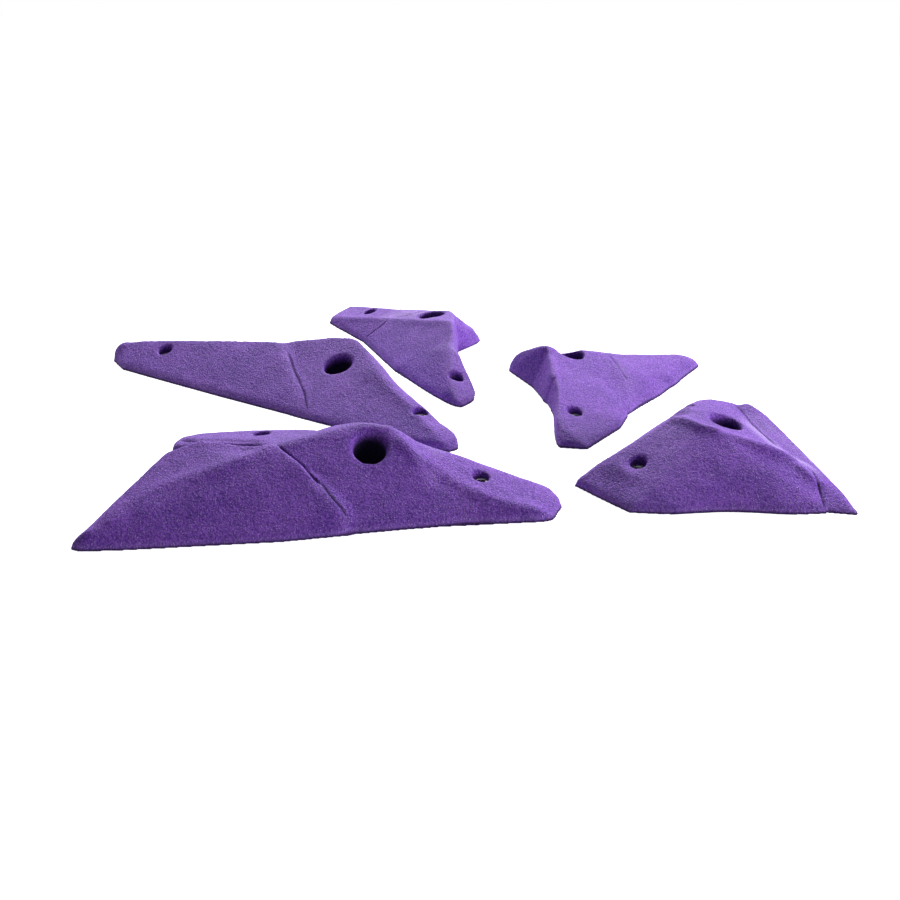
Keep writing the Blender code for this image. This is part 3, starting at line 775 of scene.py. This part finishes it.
def start_tree(name, lengths, number):
    """A Geometry Nodes tree whose inputs are geometry, some lengths, a whole number and a material."""
    tree = bpy.data.node_groups.new(name, "GeometryNodeTree")
    face = tree.interface
    face.new_socket("Geometry", in_out="INPUT", socket_type="NodeSocketGeometry")
    for length in lengths:
        face.new_socket(length, in_out="INPUT", socket_type="NodeSocketFloat")
    face.new_socket(number, in_out="INPUT", socket_type="NodeSocketInt")
    face.new_socket("Material", in_out="INPUT", socket_type="NodeSocketMaterial")
    face.new_socket("Geometry", in_out="OUTPUT", socket_type="NodeSocketGeometry")
    return tree, add_node(tree, "NodeGroupInput").outputs


def end_tree(tree, geometry, material):
    """End a tree in real geometry that has its material."""
    real = add_node(tree, "GeometryNodeRealizeInstances", Geometry=geometry)
    dressed = add_node(tree, "GeometryNodeSetMaterial", Geometry=real.outputs[0], Material=material)
    add_node(tree, "NodeGroupOutput", Geometry=dressed.outputs[0])


def surface_tree():
    """Geometry Nodes: the broad swell and the coarse grain of the cast skin."""
    tree, given = start_tree(
        "cast_skin", ("Swell Size", "Swell Height", "Grain Size", "Grain Height"), "Seed",
    )
    place = add_node(tree, "GeometryNodeInputPosition").outputs[0]
    way = add_node(
        tree, "GeometryNodeInputNamedAttribute", {"data_type": "FLOAT_VECTOR"}, Name="way",
    ).outputs[0]
    skin = add_node(
        tree, "GeometryNodeInputNamedAttribute", {"data_type": "FLOAT"}, Name="skin",
    ).outputs[0]
    heights = []
    for size, height in (("Swell Size", "Swell Height"), ("Grain Size", "Grain Height")):
        scale = add_node(tree, "ShaderNodeMath", {"operation": "DIVIDE"}, i0=1.0, i1=given[size])
        noise = add_node(
            tree, "ShaderNodeTexNoise", {"noise_dimensions": "4D"}, Vector=place, W=given["Seed"],
            Scale=scale.outputs[0], Detail=2.0, Roughness=0.5,
        )
        centred = add_node(tree, "ShaderNodeMath", {"operation": "SUBTRACT"}, i0=noise.outputs[0], i1=0.5)
        doubled = add_node(tree, "ShaderNodeMath", {"operation": "MULTIPLY"}, i0=centred.outputs[0], i1=2.0)
        lift = add_node(
            tree, "ShaderNodeMath", {"operation": "MULTIPLY"}, i0=doubled.outputs[0], i1=given[height],
        )
        heights.append(lift.outputs[0])
    both = add_node(tree, "ShaderNodeMath", {"operation": "ADD"}, i0=heights[0], i1=heights[1])
    masked = add_node(tree, "ShaderNodeMath", {"operation": "MULTIPLY"}, i0=both.outputs[0], i1=skin)
    offset = add_node(tree, "ShaderNodeVectorMath", {"operation": "SCALE"}, i0=way, Scale=masked.outputs[0])
    moved = add_node(tree, "GeometryNodeSetPosition", Geometry=given["Geometry"], Offset=offset.outputs[0])
    end_tree(tree, moved.outputs[0], given["Material"])
    return tree


def washer_tree():
    """Geometry Nodes: a stamped washer, as a rounded profile swept round a circle, at every point."""
    tree, given = start_tree(
        "stamped_washer", ("Outer Radius", "Hole Radius", "Thickness", "Edge Round"), "Sides",
    )
    total = add_node(
        tree, "ShaderNodeMath", {"operation": "ADD"}, i0=given["Outer Radius"], i1=given["Hole Radius"],
    )
    middle = add_node(tree, "ShaderNodeMath", {"operation": "MULTIPLY"}, i0=total.outputs[0], i1=0.5)
    width = add_node(
        tree, "ShaderNodeMath", {"operation": "SUBTRACT"}, i0=given["Outer Radius"],
        i1=given["Hole Radius"],
    )
    ring = add_node(
        tree, "GeometryNodeCurvePrimitiveCircle", Resolution=given["Sides"], Radius=middle.outputs[0],
    )
    profile = add_node(
        tree, "GeometryNodeCurvePrimitiveQuadrilateral", Width=width.outputs[0], Height=given["Thickness"],
    )
    rounded = add_node(
        tree, "GeometryNodeFilletCurve", {"mode": "POLY"}, Curve=profile.outputs[0], Count=3,
        Radius=given["Edge Round"],
    )
    swept = add_node(
        tree, "GeometryNodeCurveToMesh", Curve=ring.outputs[0], Profile_Curve=rounded.outputs[0],
    )
    spread = add_node(
        tree, "GeometryNodeInstanceOnPoints", Points=given["Geometry"], Instance=swept.outputs[0],
    )
    end_tree(tree, spread.outputs[0], given["Material"])
    return tree


def baked(item, tree, inputs):
    """Run a tree on an object with the given inputs and leave the result as its plain mesh."""
    modifier = item.modifiers.new(tree.name, "NODES")
    modifier.node_group = tree
    sockets = {s.name: s.identifier for s in tree.interface.items_tree if s.in_out == "INPUT"}
    for name, value in inputs.items():
        modifier[sockets[name]] = value
    bpy.context.view_layer.update()
    mesh = bpy.data.meshes.new_from_object(item.evaluated_get(bpy.context.evaluated_depsgraph_get()))
    item.modifiers.remove(modifier)
    old = item.data
    item.data = mesh
    bpy.data.meshes.remove(old)
    mesh.name = item.name


def carve(mesh, key, settings, step):
    """Give a casting's even mesh its form, and store what its skin and its material read."""
    before = read_vectors(mesh.vertices, "co")
    normals = read_vectors(mesh.vertex_normals, "vector")
    edges = np.empty(len(mesh.edges) * 2, np.int32)
    mesh.edges.foreach_get("vertices", edges)
    edges = edges.reshape(-1, 2)

    on_back = before[:, 2] < BACK_SLACK * step
    on_wall, middles, radii = bore_walls(before, key)
    shaped = before.copy()
    push_surface(shaped, key)
    rolled, depth = round_mouths(shaped, normals, key, settings)
    wall = on_wall & (np.abs(normals[:, 2]) < UPRIGHT) & ~rolled
    weights = np.where(on_back, 0.0, 1.0)
    weights[wall] = WALL_WEIGHT
    points = worn_down(shaped, edges, weights, key, settings)
    keep_round(points, wall, middles, radii)
    lower_edge(points, wall)
    points[on_back, 2] = 0.0
    points[:, 2] = np.maximum(points[:, 2], 0.0)

    taken = ((shaped - points) * normals).sum(1) / (WORN_FULLY * MM)
    # Paler skin: real wear on the worn ridges, and the painted highlight strips
    ridge = np.maximum(WORN_PALENESS * np.clip(taken, 0, 1), painted_highlight_share(points, key))
    ridge[wall | rolled | on_back] = 0
    facing_up = np.clip(normals[:, 2] * CARVING_GAIN, 0, 1)
    raise_ridges(points, key, facing_up)
    groove = carve_cracks(points, key, facing_up)
    # Painted shade: a contact shadow painted on the steep faces just above the floor
    foot_shade = np.clip(FOOT_SHADE_HEIGHT - points[:, 2] / MM, 0, 1) * (np.abs(normals[:, 2]) < FOOT_SHADE_LEAN)
    write_points(mesh, points)

    way = read_vectors(mesh.vertex_normals, "vector")
    way[:, 2] *= np.clip((points[:, 2] - GRAIN_START * MM) / (GRAIN_RISE * MM), 0, 1)
    way[wall] = 0
    store(mesh, "skin", np.where(wall, 0.0, 1.0) * np.where(rolled, LIP_GRAIN, 1.0))
    # The ridge attribute holds real wear on the ridges and the painted highlight strips
    store(mesh, "ridge", ridge)
    # Painted shade under the crack attribute: in the cracks, and a painted contact shadow along the foot
    store(mesh, "crack", np.maximum(groove, FOOT_SHADE * foot_shade))
    store(mesh, "depth", depth)
    store(mesh, "way", way)


def casting(key, settings, tree, resin):
    """One hold's casting, from its solid in the frame to its sandy skin."""
    node = f"{key}_hold"
    step = settings.mesh_step * HOLDS[key]["coarser"]
    mesh = even_mesh(node, step)
    carve(mesh, key, settings, step)
    item = bpy.data.objects.new(f"{key}_casting", mesh)
    bpy.context.scene.collection.objects.link(item)
    baked(item, tree, {
        "Swell Size": settings.swell_size, "Swell Height": settings.swell_height,
        "Grain Size": settings.grain_size, "Grain Height": settings.grain_height,
        "Seed": settings.seed, "Material": resin,
    })
    item.data.shade_smooth()
    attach(item, BODY)
    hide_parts(node)


def washers(key, kind, hole_radius, settings, tree, steel):
    """All the washers of one size in one hold."""
    nodes = [name for name in washer_nodes(key) if kind in name]
    boxes = [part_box(name) for name in nodes]
    mesh = bpy.data.meshes.new(f"{key}_{kind}_washers")
    mesh.from_pydata([(low + high) / 2 for low, high in boxes], [], [])
    item = bpy.data.objects.new(f"{key}_{kind}_washers", mesh)
    bpy.context.scene.collection.objects.link(item)
    low, high = boxes[0]
    baked(item, tree, {
        "Outer Radius": (high.x - low.x) / 2, "Hole Radius": hole_radius * MM, "Thickness": high.z - low.z,
        "Edge Round": settings.edge_round, "Sides": settings.sides, "Material": steel,
    })
    item.data.shade_smooth()
    item.data.set_sharp_from_angle(angle=SHARP_ANGLE)
    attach(item, BODY)
    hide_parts(*nodes)


class CRIMP_OT_castings(bpy.types.Operator):
    """Make the five castings from their solids in the frame"""

    bl_idname = "crimp.castings"
    bl_label = "Castings"

    def execute(self, context):
        scene = context.scene
        resin = resin_material(scene.crimp_resin)
        tree = surface_tree()
        for key in HOLDS:
            casting(key, scene.crimp_castings, tree, resin)
        return {"FINISHED"}


class CRIMP_OT_washers(bpy.types.Operator):
    """Make the steel washers that are cast into the holds"""

    bl_idname = "crimp.washers"
    bl_label = "Washers"

    def execute(self, context):
        settings = context.scene.crimp_washers
        steel = steel_material(settings)
        tree = washer_tree()
        for key in HOLDS:
            washers(key, "bolt", BOLT_HOLE_RADIUS, settings, tree, steel)
            washers(key, "screw", SCREW_HOLE_RADIUS, settings, tree, steel)
        return {"FINISHED"}


def seen_share(tree):
    """1 on rays from the camera, from gloss and through glass, and 0 on the rest."""
    path = add_node(tree, "ShaderNodeLightPath").outputs
    share = path["Is Camera Ray"]
    for ray in ("Is Glossy Ray", "Is Transmission Ray"):
        share = add_node(
            tree, "ShaderNodeMath", {"operation": "MAXIMUM"}, i0=share, i1=path[ray],
        ).outputs[0]
    return share


def floor_material():
    """Matt white board that glows a little, and more to the camera and in gloss, so that it shows white."""
    material, tree = new_material("matt_white_board")
    # A glow of 0.22 on the holds, and 0.7 more where the board is seen
    lift = add_node(
        tree, "ShaderNodeMath", {"operation": "MULTIPLY_ADD"}, i0=seen_share(tree), i1=0.7, i2=0.22,
    )
    # Faint blotches about 9 mm wide, which is 900 to the board's width
    grain = add_node(tree, "ShaderNodeTexNoise", Scale=900.0, Detail=2.0)
    tint = add_node(
        tree, "ShaderNodeMix", {"data_type": "RGBA"}, Factor=grain.outputs["Fac"], i6=linear("#eeeeee"),
        i7=linear("#f4f4f4"),
    )
    matt = add_node(tree, "ShaderNodeBsdfDiffuse", Color=tint.outputs[2])
    glow = add_node(tree, "ShaderNodeEmission", Color=(1.0, 1.0, 1.0, 1.0), Strength=lift.outputs[0])
    both = add_node(tree, "ShaderNodeAddShader", i0=matt.outputs[0], i1=glow.outputs[0])
    add_node(tree, "ShaderNodeOutputMaterial", Surface=both.outputs[0])
    return material


def white_world(strength):
    """Even light all round, and plain white where the camera or a gloss looks past the floor."""
    world = bpy.data.worlds.new("soft_surround")
    bpy.context.scene.world = world
    world.use_nodes = True
    tree = world.node_tree
    tree.nodes.clear()
    even = add_node(tree, "ShaderNodeBackground", Color=(1.0, 1.0, 1.0, 1.0), Strength=strength)
    white = add_node(tree, "ShaderNodeBackground", Color=(1.0, 1.0, 1.0, 1.0), Strength=1.0)
    mix = add_node(
        tree, "ShaderNodeMixShader", i0=seen_share(tree), i1=even.outputs[0], i2=white.outputs[0],
    )
    add_node(tree, "ShaderNodeOutputWorld", Surface=mix.outputs[0])


def soft_light(name, place, width, depth, power):
    """A soft box that points at the middle of the set."""
    lamp = bpy.data.lights.new(name, "AREA")
    lamp.shape = "RECTANGLE"
    lamp.size = width
    lamp.size_y = depth
    lamp.energy = power
    item = bpy.data.objects.new(name, lamp)
    bpy.context.scene.collection.objects.link(item)
    item.location = place
    item.rotation_euler = (-Vector(place)).to_track_quat("-Z", "Y").to_euler()


class CRIMP_OT_stage(bpy.types.Operator):
    """Make the pale floor, the soft lights and the camera"""

    bl_idname = "crimp.stage"
    bl_label = "Stage"

    def execute(self, context):
        settings = context.scene.crimp_stage
        bpy.ops.mesh.primitive_plane_add(size=FLOOR_WIDTH, location=(0, 0, -FLOOR_DROP * MM))
        floor = context.object
        floor.name = "floor"
        floor.data.materials.append(floor_material())
        white_world(settings.fill)
        soft_light("back_softbox", place=(0.15, 1.75, 1.2), width=2.0, depth=0.8, power=settings.key)
        soft_light("side_softbox", place=(1.6, -0.4, 0.32), width=1.1, depth=0.5, power=settings.side)

        lens = bpy.data.cameras.new("camera")
        lens.lens = settings.lens
        lens.sensor_width = 36.0
        camera = bpy.data.objects.new("camera", lens)
        context.scene.collection.objects.link(camera)
        bolt = middle_of("front_left_bolt_washer")
        camera.location = (
            bolt[0] + settings.from_bolt[0], bolt[1] + settings.from_bolt[1], settings.height,
        )
        camera.rotation_euler = (math.radians(90) - settings.pitch, 0, 0)
        context.scene.camera = camera
        context.scene.view_settings.view_transform = "Standard"
        return {"FINISHED"}


class CRIMP_PT_panel(bpy.types.Panel):
    """The set's pieces and their sizes"""

    bl_idname = "CRIMP_PT_panel"
    bl_label = "Crimp Holds"
    bl_space_type = "VIEW_3D"
    bl_region_type = "UI"
    bl_category = "Crimp Holds"

    def draw(self, context):
        for name, operator in (
            ("crimp_castings", CRIMP_OT_castings), ("crimp_resin", None),
            ("crimp_washers", CRIMP_OT_washers), ("crimp_stage", CRIMP_OT_stage),
        ):
            group = getattr(context.scene, name)
            box = self.layout.box()
            for field in group.bl_rna.properties:
                if not field.is_readonly and field.identifier != "name":
                    box.prop(group, field.identifier)
            if operator:
                box.operator(operator.bl_idname)


GROUPS = {
    "crimp_castings": CastingSettings,
    "crimp_resin": ResinSettings,
    "crimp_washers": WasherSettings,
    "crimp_stage": StageSettings,
}
CLASSES = (*GROUPS.values(), CRIMP_OT_castings, CRIMP_OT_washers, CRIMP_OT_stage, CRIMP_PT_panel)


def register():
    for item in CLASSES:
        bpy.utils.register_class(item)
    for name, group in GROUPS.items():
        setattr(bpy.types.Scene, name, PointerProperty(type=group))


def unregister():
    for name in GROUPS:
        delattr(bpy.types.Scene, name)
    for item in reversed(CLASSES):
        bpy.utils.unregister_class(item)


def main():
    register()
    bpy.ops.crimp.castings()
    bpy.ops.crimp.washers()
    bpy.ops.crimp.stage()
    bpy.context.view_layer.update()


if __name__ == "__main__":
    main()
